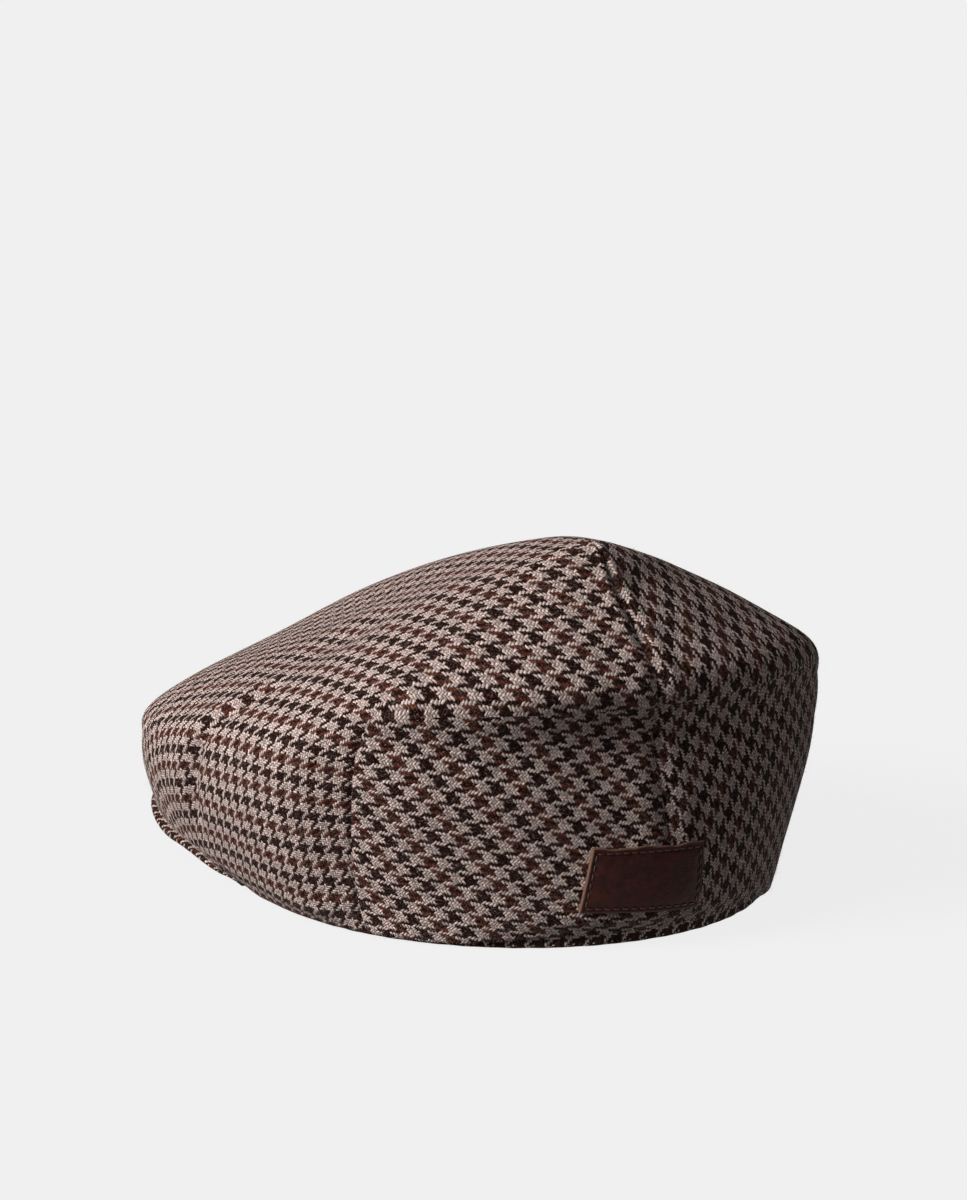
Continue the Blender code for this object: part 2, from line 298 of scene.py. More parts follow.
def column_degrees(column, level):
    """The angle of a column at a level."""
    side = from_back(column)
    turn = np.sign((column + 180) % 360 - 180)
    dart_shift = seam_angle(level, *SIDE_DART[:4]) - DART_COLUMN
    tuck_shift = seam_angle(level, *FRONT_TUCK[:4]) - TUCK_COLUMN
    near_dart = np.interp(side, [0, DART_COLUMN, TUCK_COLUMN], [0, 1, 0])
    near_tuck = np.interp(side, [DART_COLUMN, TUCK_COLUMN, 180], [0, 1, 0])
    return turn * (side + dart_shift * near_dart + tuck_shift * near_tuck)


def grid_faces(rows, columns, start=0, flip=False):
    """Quads between rows of points that close round the cap."""
    faces = []
    for i in range(rows - 1):
        for j in range(columns):
            k = (j + 1) % columns
            low, high = start + i * columns, start + (i + 1) * columns
            quad = (low + j, high + j, high + k, low + k)
            faces.append(quad[::-1] if flip else quad)
    return faces


def flat_cloth(columns, levels):
    """The crown opened flat along its seams: a flat place for each corner of a coarse grid.

    Returns an array by level cell, column cell and the cell's four corners, in metres."""
    grid_level, grid_column = np.meshgrid(levels, columns, indexing="ij")
    points = plain_crown(grid_level, column_degrees(grid_column, grid_level)).reshape(-1, 3)
    faces = grid_faces(len(levels), len(columns))
    cloth = new_mesh("flat_cloth", points, faces)
    mesh = cloth.data
    count = len(columns)
    cut = set()
    for i in range(len(levels) - 1):
        middle = (levels[i] + levels[i + 1]) / 2
        for column, tip_level in ((0, APEX_LEVEL), (DART_COLUMN, DART_TIP_LEVEL),
                                  (360 - DART_COLUMN, DART_TIP_LEVEL)):
            if middle <= tip_level:
                j = int(np.argmin(np.abs(columns - column)))
                cut.add((i * count + j, (i + 1) * count + j))
    for edge in mesh.edges:
        edge.use_seam = tuple(sorted(edge.vertices)) in cut
    set_uv(cloth, "flat", np.zeros((len(mesh.loops), 2)))
    bpy.context.view_layer.objects.active = cloth
    cloth.select_set(True)
    bpy.ops.object.mode_set(mode="EDIT")
    bpy.ops.mesh.select_all(action="SELECT")
    bpy.ops.uv.unwrap(method="MINIMUM_STRETCH", fill_holes=False, margin=0.0, iterations=60)
    bpy.ops.object.mode_set(mode="OBJECT")
    flat = np.zeros(len(mesh.loops) * 2, np.float32)
    mesh.uv_layers["flat"].data.foreach_get("uv", flat)
    flat = flat.reshape(-1, 4, 2).astype(float)
    solid_area = sum(face.area for face in mesh.polygons)
    x, y = flat[..., 0], flat[..., 1]
    flat_area = 0.5 * np.abs(np.sum(x * np.roll(y, -1, 1) - np.roll(x, -1, 1) * y, axis=1)).sum()
    flat = flat * math.sqrt(solid_area / flat_area)
    flat = flat.reshape(len(levels) - 1, count, 4, 2)
    front = int(np.argmin(np.abs(columns - 180)))
    grain = flat[-1, front, 0] - flat[len(levels) // 3, front, 0]
    flat = spun(flat - flat[-1, front, 0], math.atan2(grain[0], grain[1]))
    bpy.data.objects.remove(cloth, do_unlink=True)
    return ease_panels(flat, columns, levels)


# Sewing draws the panels behind and ahead of each side dart round its tip. The turns are in
# degrees, and so are the wedges, which start from the line between the tip and the apex.
BACK_TURN = 20
BACK_WEDGE = (0, 80)
FRONT_TURN = 22
FRONT_WEDGE = (0, 150)
FRONT_FADE = (105, 178)     # columns over which the front turn dies away


def ease_panels(flat, columns, levels):
    """Turn the cloth on either side of each side dart about the dart's tip."""
    eased = flat
    below_tip = ((levels[:-1] + levels[1:]) / 2 < DART_TIP_LEVEL)[:, None, None]
    column_ends = np.append(columns, 360.0)
    column_middle = ((column_ends[:-1] + column_ends[1:]) / 2)[None, :, None]
    for side, tip_column in ((1, DART_COLUMN), (-1, 360 - DART_COLUMN)):
        cell = int(np.argmin(np.abs(columns - tip_column)))
        tip = flat[int(np.argmin(np.abs(levels - DART_TIP_LEVEL))), cell, 0]
        to_apex = flat[-1, cell, 1] - tip
        away = flat - tip
        behind_line = np.degrees(np.arctan2(
            side * (away[..., 0] * to_apex[1] - away[..., 1] * to_apex[0]), away @ to_apex))
        number = column_middle if side > 0 else 360 - column_middle
        behind_dart = number < DART_COLUMN
        back = np.where(below_tip, behind_dart, np.interp(behind_line, BACK_WEDGE, (0, 1)))
        ahead_line = np.where(~behind_dart & (behind_line > 90), 360 - behind_line, -behind_line)
        front = np.interp(ahead_line, FRONT_WEDGE, (0, 1)) * (1 - fade(number, *FRONT_FADE))
        front = np.where(below_tip & behind_dart, 0, front)
        angle = np.radians(BACK_TURN * back * (number < 180) + FRONT_TURN * front) * side
        eased = np.where((number < 180)[..., None], tip + spun(away, angle), eased)
    return eased


def fine_columns():
    """The fine grid's columns, closer together beside each seam."""
    columns = set(np.arange(0, 360, FINE_COLUMN_STEP).round(3))
    for seam in (0, DART_COLUMN, TUCK_COLUMN, 360 - TUCK_COLUMN, 360 - DART_COLUMN):
        for step in FINE_SEAM_STEPS:
            columns |= {round((seam + step) % 360, 3), round((seam - step) % 360, 3)}
    return np.array(sorted(columns))


def cloth_uv(flat, coarse_columns, coarse_levels, columns, levels):
    """The flat place of each corner of the fine grid's cells, read across the coarse cells."""
    column_ends = np.append(columns, 360.0)
    level_middle = (levels[:-1] + levels[1:]) / 2
    column_middle = (column_ends[:-1] + column_ends[1:]) / 2
    coarse_ends = np.append(coarse_columns, 360.0)
    row = np.clip(np.searchsorted(coarse_levels, level_middle) - 1, 0, len(flat) - 1)
    col = np.clip(np.searchsorted(coarse_ends, column_middle) - 1, 0, flat.shape[1] - 1)
    cell = flat[row[:, None], col[None, :]]
    base, height = coarse_levels[row], np.diff(coarse_levels)[row]
    left, width = coarse_ends[col], np.diff(coarse_ends)[col]
    corners = []
    for up, along in ((0, 0), (1, 0), (1, 1), (0, 1)):
        v = ((levels[:-1] if not up else levels[1:]) - base) / height
        u = ((column_ends[:-1] if not along else column_ends[1:]) - left) / width
        v, u = v[:, None, None], u[None, :, None]
        corners.append(cell[:, :, 0] * (1 - v) * (1 - u) + cell[:, :, 1] * v * (1 - u)
                       + cell[:, :, 2] * v * u + cell[:, :, 3] * (1 - v) * u)
    return np.stack(corners, axis=2)


TURNED_SHARE = 0.3          # how much of a cell's cloth the turned edge takes up


def crown_rim(under_start, inner_start, corner_uv):
    """The turned edge: faces from the outer face's foot, under it, to the inner face's."""
    faces, uv = [], []
    count = corner_uv.shape[1]
    for j in range(count):
        k = (j + 1) % count
        faces.append((j, k, under_start + k, under_start + j))
        faces.append((under_start + j, under_start + k, inner_start + k, inner_start + j))
        low = corner_uv[0, j]
        out = low[0] - (low[1] - low[0]) * TURNED_SHARE
        out_next = low[3] - (low[2] - low[3]) * TURNED_SHARE
        uv += [low[0], low[3], out_next, out, out, out_next, out_next, out]
    return faces, uv


def crown_cap(start, apex, corner_uv, flip=False):
    """The small fan of faces between the topmost row of points and the apex."""
    faces, uv = [], []
    count = corner_uv.shape[1]
    for j in range(count):
        face = (start + j, apex, start + (j + 1) % count)
        left, right = corner_uv[-1, j, 1], corner_uv[-1, j, 2]
        flat = [left, (left + right) / 2, right]
        faces.append(face[::-1] if flip else face)
        uv += flat[::-1] if flip else flat
    return faces, uv


def make_crown():
    """The crown: its outer face on a fine grid, its inner face on a plainer one, joined by the
    turned edge, with the weave laid on its flat pattern."""
    coarse_columns = np.arange(0.0, 360.0, COARSE_COLUMN_STEP)
    coarse_levels = np.append(
        np.arange(0, TOP_LEVEL - COARSE_LEVEL_STEP / 2, COARSE_LEVEL_STEP), TOP_LEVEL)
    flat = flat_cloth(coarse_columns, coarse_levels)
    columns = fine_columns()
    levels = np.append(np.arange(0, TOP_LEVEL - FINE_LEVEL_STEP / 2, FINE_LEVEL_STEP), TOP_LEVEL)
    corner_uv = cloth_uv(flat, coarse_columns, coarse_levels, columns, levels)

    grid_level, grid_column = np.meshgrid(levels, columns, indexing="ij")
    outer = crown_point(grid_level, column_degrees(grid_column, grid_level))
    inner_levels = levels[::INNER_ROW_STEP]
    inner_level, inner_column = np.meshgrid(inner_levels, columns, indexing="ij")
    inner = crown_point(inner_level, column_degrees(inner_column, inner_level), CLOTH_WALL)
    under = (outer[0] + inner[0]) / 2 - np.array([0, 0, GAP])
    points = np.vstack([outer.reshape(-1, 3), inner.reshape(-1, 3), under,
                        outer[-1].mean(0), inner[-1].mean(0)])

    # The inner face's cells take the cloth of the outer cells that they lie behind
    starts = np.arange(len(inner_levels) - 1) * INNER_ROW_STEP
    ends = np.minimum(starts + INNER_ROW_STEP, len(levels) - 1) - 1
    inner_uv = np.stack([corner_uv[starts, :, 3], corner_uv[ends, :, 2],
                         corner_uv[ends, :, 1], corner_uv[starts, :, 0]], axis=2)

    count = len(columns)
    inner_start = len(levels) * count
    under_start = inner_start + len(inner_levels) * count
    outer_top, inner_top = inner_start - count, under_start - count
    rim_faces, rim_uv = crown_rim(under_start, inner_start, corner_uv)
    cap_faces, cap_uv = crown_cap(outer_top, len(points) - 2, corner_uv)
    inner_cap_faces, inner_cap_uv = crown_cap(inner_top, len(points) - 1, corner_uv, flip=True)
    faces = (grid_faces(len(levels), count)
             + grid_faces(len(inner_levels), count, inner_start, flip=True)
             + rim_faces + cap_faces + inner_cap_faces)
    crown = new_mesh("crown_cloth", points, faces)
    set_uv(crown, "cloth", np.concatenate([corner_uv.reshape(-1, 2), inner_uv.reshape(-1, 2),
                                           rim_uv, cap_uv, inner_cap_uv]))
    return crown


def sheet(name, rows, uv, ends=False):
    """A grid of points as a mesh, with a flat place in metres for each point."""
    count = rows.shape[1]
    faces = [(i * count + j, (i + 1) * count + j, (i + 1) * count + j + 1, i * count + j + 1)
             for i in range(rows.shape[0] - 1) for j in range(count - 1)]
    if ends:
        column = [i * count for i in range(rows.shape[0])]
        faces += [tuple(column), tuple(i + count - 1 for i in column[::-1])]
    placed = new_mesh(name, rows.reshape(-1, 3), faces)
    flat = uv.reshape(-1, 2)
    set_uv(placed, "cloth", [flat[corner] for face in faces for corner in face])
    return placed


def lengths_along(rows):
    """How far along its rows and its columns each point of a grid lies, in metres."""
    across = np.linalg.norm(np.diff(rows, axis=0), axis=-1).mean(1)
    along = np.linalg.norm(np.diff(rows, axis=1), axis=-1).max(0)
    across, along = np.append(0, across.cumsum()), np.append(0, along.cumsum())
    return np.stack(np.broadcast_arrays(along[None, :], across[:, None]), -1)


def hem_point(degrees, inset, height):
    """A point of the hem, inset from its outer face."""
    angle = np.radians(degrees)
    wide, long = HEM_HALF_WIDTH - inset, HEM_HALF_LENGTH - inset
    reach = quarter_reach(angle, wide, long, long, 2.0, 2.0)
    height = np.broadcast_to(height, reach.shape)
    return np.stack([reach * np.sin(angle), reach * np.cos(angle), height], -1) + MIDDLE


HEM_ROLL = 0.0009           # the height of the fold's rounding
HEM_CORNER = (0.0005, 0.0004)
HEM_PUCKER = 0.00012        # how far the sewing draws the outside in and out
HEM_CUT = (0.003, 0.001)    # where the hem's strip was cut from the weave


def make_hem():
    """The turned hem, folded round at the bottom."""
    degrees = np.linspace(-180, 180, 361)
    half = HEM_WALL / 2
    in_from_side, down_from_top = HEM_CORNER
    shoulder = HEM_HEIGHT - down_from_top
    profile = [(0.0, height) for height in np.linspace(HEM_ROLL, shoulder, 5)]
    profile += [(in_from_side, HEM_HEIGHT), (HEM_WALL - in_from_side, HEM_HEIGHT),
                (HEM_WALL, shoulder)]
    profile += [(half + half * math.cos(t), HEM_ROLL - HEM_ROLL * math.sin(t))
                for t in np.radians(np.arange(0, 181, 30))]
    pucker = HEM_PUCKER * (np.sin(np.radians(degrees * 67))
                           + np.sin(np.radians(degrees * 41 + 50)))
    rows = np.array([hem_point(degrees, inset + pucker * (inset < half), height)
                     for inset, height in profile])
    return sheet("hem_cloth", rows, lengths_along(rows) + HEM_CUT)


PEAK_CLOTH_SPAN = 72        # degrees: the peak's cloth runs on past the board
PEAK_CLOTH_THINNING = 0.75  # the share of its thickness that it loses there


def make_peak():
    """The peak's cloth, rounded over the board's lip."""
    degrees = np.linspace(180 - PEAK_CLOTH_SPAN, 180 + PEAK_CLOTH_SPAN, 261)
    aside_front = np.abs(degrees - 180) / PEAK_HALF_SPAN
    tip = fade(1 - aside_front, -0.1, 0.6)[:, None]
    end = fade(aside_front, 0.72, PEAK_CLOTH_SPAN / PEAK_HALF_SPAN)[:, None]
    wall = PEAK_WALL * (1 - PEAK_CLOTH_THINNING * end)
    edge = plain_crown(0.0, degrees)
    edge[:, 2] -= 2 * GAP
    half = wall / 2
    root = hem_point(degrees, -GAP, 0.0)
    root[:, 2] = edge_height(degrees, lift=0.0) - 2 * GAP
    aside = unit((edge - MIDDLE) * (1, 1, 0))
    lip = edge + aside * (PEAK_LIP * tip - half)
    lip[:, 2] -= PEAK_DROP * tip[:, 0]
    upright = np.array([0, 0, 1.0])
    top = [root, root * 0.6 + edge * 0.4, root * 0.15 + edge * 0.85, edge * 0.5 + lip * 0.5]
    arc = [lip - upright * half + (aside * math.cos(t) + upright * math.sin(t)) * half
           for t in np.radians(np.arange(-90, 91, 22.5))]
    rows = [point - upright * wall for point in top] + arc + top[::-1]
    rows = np.array(rows)
    return sheet("peak_cloth", rows, lengths_along(rows), ends=True)


HIGHEST_PATCH_LEVEL = 6.0
HALVINGS = 30


def level_at_height(degrees, height):
    """The crown levels that have these heights at these angles, found by halving."""
    low, high = np.zeros_like(degrees), np.full_like(degrees, HIGHEST_PATCH_LEVEL)
    for _ in range(HALVINGS):
        middle = (low + high) / 2
        below = plain_crown(middle, degrees)[..., 2] < height
        low, high = np.where(below, middle, low), np.where(below, high, middle)
    return low


def patch_point(across, up, lift):
    """A point over the crown in the patch's own directions, from the middle of its foot."""
    across, up = np.broadcast_arrays(np.asarray(across, float), np.asarray(up, float))
    across = across - PATCH_SKEW * (up - PATCH_HEIGHT / 2)
    lean = math.radians(PATCH_LEAN)
    middle = np.array(float(PATCH_ANGLE))
    foot = plain_crown(level_at_height(middle, PATCH_FOOT_HEIGHT), middle) - MIDDLE
    degrees = PATCH_ANGLE + np.degrees((across * math.cos(lean) - up * math.sin(lean))
                                       / math.hypot(foot[0], foot[1]))
    height = PATCH_FOOT_HEIGHT + up * math.cos(lean) + across * math.sin(lean)
    level = level_at_height(degrees, height)
    return plain_crown(level, degrees) + outward(level, degrees) * np.asarray(lift)[..., None]


STITCH_INSET = 0.0016       # the patch's stitch line, from its cut edge
STITCH_SINK = 0.00028       # how deep the thread draws the leather in
STITCH_SINK_SPREAD = 0.00045
CUT_ROUNDING = 0.0005
FACE_CROWNING = 0.0003      # how far the middle of the leather stands over its edge
FACE_START = 0.0050         # from the cut edge
SUNK_EDGE = 0.0004          # how far the patch's edge runs on into the crown's cloth


# The upper edge was cut a little unevenly: each wave's height in metres, its radians per metre
# and its start
CUT_WAVES = ((0.0003, 330, 1.0), (0.00015, 790, 0.0))

# The patch's grid is closest beside its cut edge, at these distances from it in millimetres,
# and has even rows and columns over its face
NEAR_EDGE_MM = (0, 0.1, 0.25, 0.5, 0.8, 1.1, 1.35, 1.6, 1.85, 2.1, 2.5, 3.2)
FACE_COLUMNS = 34
FACE_COLUMNS_FROM = 0.0042
FACE_ROWS = 16
FACE_ROWS_FROM = 0.0040


def patch_top(across):
    """The height of the patch's upper edge."""
    return PATCH_HEIGHT + sum(height * np.sin(across * turn + start)
                              for height, turn, start in CUT_WAVES)


def make_patch():
    """A thick piece of leather with a rounded cut edge, drawn in along its stitch line."""
    near_edge = np.array(NEAR_EDGE_MM) / 1000
    half = PATCH_WIDTH / 2
    face_half, face_top = half - FACE_COLUMNS_FROM, PATCH_HEIGHT - FACE_ROWS_FROM
    across = np.concatenate([near_edge - half, np.linspace(-face_half, face_half, FACE_COLUMNS),
                             half - near_edge[::-1]])
    share = np.concatenate([near_edge, np.linspace(FACE_ROWS_FROM, face_top, FACE_ROWS),
                            PATCH_HEIGHT - near_edge[::-1]]) / PATCH_HEIGHT
    grid_share, grid_across = np.meshgrid(share, across, indexing="ij")
    grid_up = grid_share * patch_top(grid_across)
    inside = np.minimum(np.minimum(half - np.abs(grid_across), grid_up),
                        patch_top(grid_across) - grid_up)
    rounded = np.clip(inside / CUT_ROUNDING, 0, 1)
    lift = GAP + PATCH_WALL - CUT_ROUNDING * (1 - np.sqrt(1 - (1 - rounded) ** 2))
    lift += FACE_CROWNING * fade(inside, STITCH_INSET, FACE_START)
    lift -= STITCH_SINK * bump(inside - STITCH_INSET, STITCH_SINK_SPREAD)
    rows = patch_point(grid_across, grid_up, lift)
    sunk = patch_point(grid_across, grid_up, np.full(lift.shape, -SUNK_EDGE))
    uv = np.stack([grid_across + half, grid_up * PATCH_HEIGHT / patch_top(grid_across)], -1)
    rows = np.concatenate([sunk[:1], rows, sunk[-1:]])
    uv = np.concatenate([uv[:1], uv, uv[-1:]])
    sides = np.concatenate([sunk[:1], sunk, sunk[-1:]])
    rows = np.concatenate([sides[:, :1], rows, sides[:, -1:]], axis=1)
    uv = np.concatenate([uv[:, :1], uv, uv[:, -1:]], axis=1)
    return sheet("patch_leather", rows, uv)


STITCH_LENGTH = 0.0021
STITCH_PITCH = 0.0029
STITCH_ARCH = 0.0002
THREAD_RADIUS = 0.00026
THREAD_SIDES = 8


def make_patch_stitches():
    """Thread stitches round the patch, each one arched out of its two holes."""
    half, top = PATCH_WIDTH / 2 - STITCH_INSET, PATCH_HEIGHT - STITCH_INSET
    corners = [(-half, STITCH_INSET), (half, STITCH_INSET), (half, top), (-half, top)]
    # each ring of a stitch: its share of the length and its share of the radius
    rings = ((0.0, 0.5), (0.12, 0.95), (0.3, 1.0), (0.5, 1.0), (0.7, 1.0), (0.88, 0.95), (1.0, 0.5))
    points, faces = [], []
    for start, end in zip(corners, corners[1:] + corners[:1]):
        start, end = np.array(start), np.array(end)
        length = np.linalg.norm(end - start)
        count = round(length / STITCH_PITCH)
        along = (end - start) / length
        beside = np.array([-along[1], along[0]])
        for i in range(count):
            middle = start + along * length * (i + 0.5) / count
            base = len(points)
            for share, wide in rings:
                arch = STITCH_ARCH * math.sin(math.pi * share) - STITCH_ARCH
                for k in range(THREAD_SIDES):
                    turn = math.tau * k / THREAD_SIDES
                    place = (middle + along * STITCH_LENGTH * (share - 0.5)
                             + beside * THREAD_RADIUS * wide * math.cos(turn))
                    lift = GAP + PATCH_WALL + arch + THREAD_RADIUS * wide * math.sin(turn)
                    points.append((place[0], place[1], lift))
            faces += grid_faces(len(rings), THREAD_SIDES, base, flip=True)
            ends = len(points) - THREAD_SIDES
            faces.append(tuple(base + k for k in range(THREAD_SIDES))[::-1])
            faces.append(tuple(ends + k for k in range(THREAD_SIDES)))
    across, up, lift = np.array(points).T
    return new_mesh("patch_stitches", patch_point(across, up, lift), faces)


HAIR_COUNT = 16000
HAIR_TOP_LEVEL = 9.6
SEAM_HAIR_COUNT = 700
SEAM_HAIR_TOP_LEVEL = 8.5
HAIR_LENGTH_STEP = 0.00055  # metres, and most fibres are two or three of these long
HAIR_HALF_WIDTH = (0.000018, 0.000032)


def make_hairs():
    """Loose wool fibres that stand off the brushed cloth, more of them along the seams."""
    chance = np.random.default_rng(11)
    level = HAIR_TOP_LEVEL * (1 - np.sqrt(1 - chance.random(HAIR_COUNT) * 0.985))
    degrees = chance.random(HAIR_COUNT) * 360
    seam_level = chance.random(SEAM_HAIR_COUNT) * SEAM_HAIR_TOP_LEVEL
    seam_degrees = chance.normal(0, 0.8, SEAM_HAIR_COUNT)
    level = np.append(level, seam_level)
    degrees = np.append(degrees, seam_degrees) % 360
    count = len(level)
    root = crown_point(level, degrees)
    normal = outward(level, degrees)
    aside = unit(np.cross(normal, chance.normal(size=(count, 3))))
    bend = np.cross(normal, aside)
    length = chance.gamma(3.0, HAIR_LENGTH_STEP, count)[:, None]
    rise = chance.uniform(0.15, 0.75, count)[:, None]
    curl = chance.normal(0, 0.45, count)[:, None]
    wide = chance.uniform(*HAIR_HALF_WIDTH, count)[:, None]
    strip = []
    for t in (0.0, 0.35, 0.7, 1.0):
        place = root + length * (aside * t * (1 - 0.3 * rise * t) + bend * curl * t * t
                                 + normal * rise * (t - 0.35 * t * t))
        taper = wide * (1 - 0.75 * t)
        strip += [place - bend * taper, place + bend * taper]
    points = np.stack(strip, axis=1).reshape(-1, 3)
    faces = [(8 * i + 2 * k, 8 * i + 2 * k + 1, 8 * i + 2 * k + 3, 8 * i + 2 * k + 2)
             for i in range(count) for k in range(3)]
    return new_mesh("crown_fibres", points, faces)


def linear(code):
    """A colour from its sRGB hex code."""
    parts = [int(code[i:i + 2], 16) / 255 for i in (1, 3, 5)]
    return tuple(c / 12.92 if c <= 0.04045 else ((c + 0.055) / 1.055) ** 2.4
                 for c in parts) + (1.0,)


def add(tree, kind, inputs=(), out=0, **settings):
    """Add a node with its settings and its linked or fixed inputs, and return one output."""
    node = tree.nodes.new(kind)
    for name, value in settings.items():
        setattr(node, name, value)
    for socket, value in dict(inputs).items():
        if isinstance(value, bpy.types.NodeSocket):
            tree.links.new(value, node.inputs[socket])
        else:
            node.inputs[socket].default_value = value
    return node.outputs[out]


def new_material(name):
    material = bpy.data.materials.new(name)
    material.use_nodes = True
    return material, material.node_tree, material.node_tree.nodes["Principled BSDF"]


# A Mix node's colours are its inputs 6 and 7 and its output 2. A Map Range node's inputs are
# the value, the range that it comes from and the range that it goes to.
MATH = "ShaderNodeMath"
MIX = "ShaderNodeMix"
NOISE = "ShaderNodeTexNoise"
RANGE = "ShaderNodeMapRange"
VECTOR = "ShaderNodeVectorMath"


def yarns(tree, thread, side, other, light, dark, odd):
    """One of the weave's two sets of yarns. It returns where each yarn stands in its step of
    four, its colour, and its height: its roundness times its arch over two others."""
    phase = add(tree, MATH, {0: add(tree, MATH, {0: other, 1: thread}), 1: 4.0},
                operation="FLOORED_MODULO")
    place = add(tree, MATH, {0: thread, 1: float(THREADS_IN_CHECK)}, operation="FLOORED_MODULO")
    is_dark = add(tree, MATH, {0: place, 1: THREADS_IN_CHECK / 2}, operation="LESS_THAN")
    group = add(tree, MATH, {0: thread, 1: 2.0 * THREADS_IN_CHECK}, operation="FLOORED_MODULO")
    second = add(tree, MATH, {0: group, 1: THREADS_IN_CHECK - 0.5}, operation="GREATER_THAN")
    darks = add(tree, MIX, {0: second, 6: linear(dark), 7: linear(odd)}, out=2, data_type="RGBA")
    colour = add(tree, MIX, {0: is_dark, 6: linear(light), 7: darks}, out=2, data_type="RGBA")
    centred = add(tree, MATH, {0: add(tree, MATH, {0: side}, operation="FRACT"),
                               1: 2.0, 2: -1.0}, operation="MULTIPLY_ADD")
    square = add(tree, MATH, {0: centred, 1: centred}, operation="MULTIPLY")
    around = add(tree, MATH, {0: square, 1: -0.75, 2: 1.0}, operation="MULTIPLY_ADD")
    arch = add(tree, MATH, {0: add(tree, MATH, {0: phase, 1: math.pi / 2},
                                   operation="MULTIPLY")}, operation="SINE")
    arch = add(tree, MATH, {0: add(tree, MATH, {0: arch}, operation="ABSOLUTE"),
                            1: 0.55, 2: 0.45}, operation="MULTIPLY_ADD")
    height = add(tree, MATH, {0: around, 1: arch}, operation="MULTIPLY")
    return phase, colour, height


def tweed(name, light="#C8B2AA", dark="#210D09"):
    """Woollen houndstooth tweed: brushed woollen yarn in a 2/2 twill. It gives a dry, matt
    cloth with broken edges to each check, small yarn floats on the skew and a soft bloom."""
    material, tree, shader = new_material(name)
    flat = add(tree, "ShaderNodeUVMap", uv_map="cloth")
    threads = add(tree, VECTOR, {0: flat, "Scale": 1 / THREAD_PITCH}, operation="SCALE")
    # The cloth wanders a little as it is sewn, and each yarn is uneven and hairy
    placed = threads
    for scale, detail, reach in ((0.03, 1.0, 2.4), (0.35, 1.0, 0.9), (1.6, 2.0, 0.95)):
        sway = add(tree, NOISE, {"Vector": threads, "Scale": scale, "Detail": detail}, out=1)
        sway = add(tree, VECTOR, {0: sway, 1: (0.5, 0.5, 0.5)}, operation="SUBTRACT")
        placed = add(tree, VECTOR, {0: sway, 1: (reach, reach, 0.0), 2: placed},
                     operation="MULTIPLY_ADD")
    across = add(tree, "ShaderNodeSeparateXYZ", {0: placed})
    along = across.node.outputs[1]
    warp = add(tree, MATH, {0: across}, operation="FLOOR")
    weft = add(tree, MATH, {0: along}, operation="FLOOR")

    # Every second group of dark warp yarns is russet, and of dark weft yarns nearly black
    warp_phase, warp_colour, warp_height = yarns(tree, warp, across, along, light, dark, "#5C2F24")
    _, weft_colour, weft_height = yarns(tree, weft, along, across, light, dark, "#2C1A18")
    warp_up = add(tree, MATH, {0: warp_phase, 1: 2.0}, operation="LESS_THAN")
    colour = add(tree, MIX, {0: warp_up, 6: weft_colour, 7: warp_colour}, out=2,
                 data_type="RGBA")
    height = add(tree, MIX, {0: warp_up, 2: weft_height, 3: warp_height})

    # Spun strands: fine streaks on the skew, and flecks of other wool carded into the yarn
    skew = add(tree, "ShaderNodeMapping", {0: threads, 2: (0.0, 0.0, math.radians(38)),
                                           3: (0.3, 1.1, 1.0)}, vector_type="TEXTURE")
    strand = add(tree, NOISE, {"Vector": skew, "Scale": 1.0, "Detail": 3.0, "Roughness": 0.7})
    fleck = add(tree, NOISE, {"Vector": skew, "Scale": 0.45, "Detail": 2.0, "Roughness": 0.75},
                out=1)
    fleck = add(tree, "ShaderNodeSeparateXYZ", {0: fleck})
    for channel, low, high, wool, amount in ((0, 0.57, 0.69, "#D9CCC0", 0.24),
                                             (1, 0.58, 0.70, "#7A4638", 0.60),
                                             (2, 0.60, 0.72, "#4A312B", 0.55)):
        spot = fleck.node.outputs[channel]
        spot = add(tree, RANGE, {0: spot, 1: low, 2: high, 3: 0.0, 4: amount})
        colour = add(tree, MIX, {0: spot, 6: colour, 7: linear(wool)}, out=2, data_type="RGBA")
    # Painted shade and highlight: the colour is darkened and lightened with the strand streaks and
    # with each yarn's height (depth), the same shapes that raise the bump below. The weave's
    # crevices are painted darker and the yarns' crowns lighter. The per-crossing knot tone is the
    # wool's own uneven colour.
    shade = add(tree, RANGE, {0: strand, 1: 0.3, 2: 0.7, 3: 0.62, 4: 1.38})
    depth = add(tree, RANGE, {0: height, 1: 0.1, 2: 0.8, 3: 0.12, 4: 1.42})
    shade = add(tree, MATH, {0: shade, 1: depth}, operation="MULTIPLY")
    crossing = add(tree, VECTOR, {0: placed}, operation="FLOOR")
    knot = add(tree, "ShaderNodeTexWhiteNoise", {"Vector": crossing}, noise_dimensions="2D")
    knot = add(tree, RANGE, {0: knot, 3: 0.62, 4: 1.38})
    shade = add(tree, MATH, {0: shade, 1: knot}, operation="MULTIPLY")
    colour = add(tree, MIX, {0: 1.0, 6: colour, 7: shade}, out=2, data_type="RGBA",
                 blend_type="MULTIPLY")
    tree.links.new(colour, shader.inputs["Base Color"])

    relief = add(tree, MATH, {0: strand, 1: 0.5, 2: height}, operation="MULTIPLY_ADD")
    bent = add(tree, "ShaderNodeBump", {"Height": relief, "Strength": 1.0,
                                        "Distance": THREAD_PITCH * 0.5})
    tree.links.new(bent, shader.inputs["Normal"])
    for socket, value in (("Roughness", 0.92), ("Specular IOR Level", 0.06),
                          ("Sheen Weight", 0.02), ("Sheen Roughness", 0.45)):
        shader.inputs[socket].default_value = value
    shader.inputs["Sheen Tint"].default_value = linear("#D8C8BC")
    return material


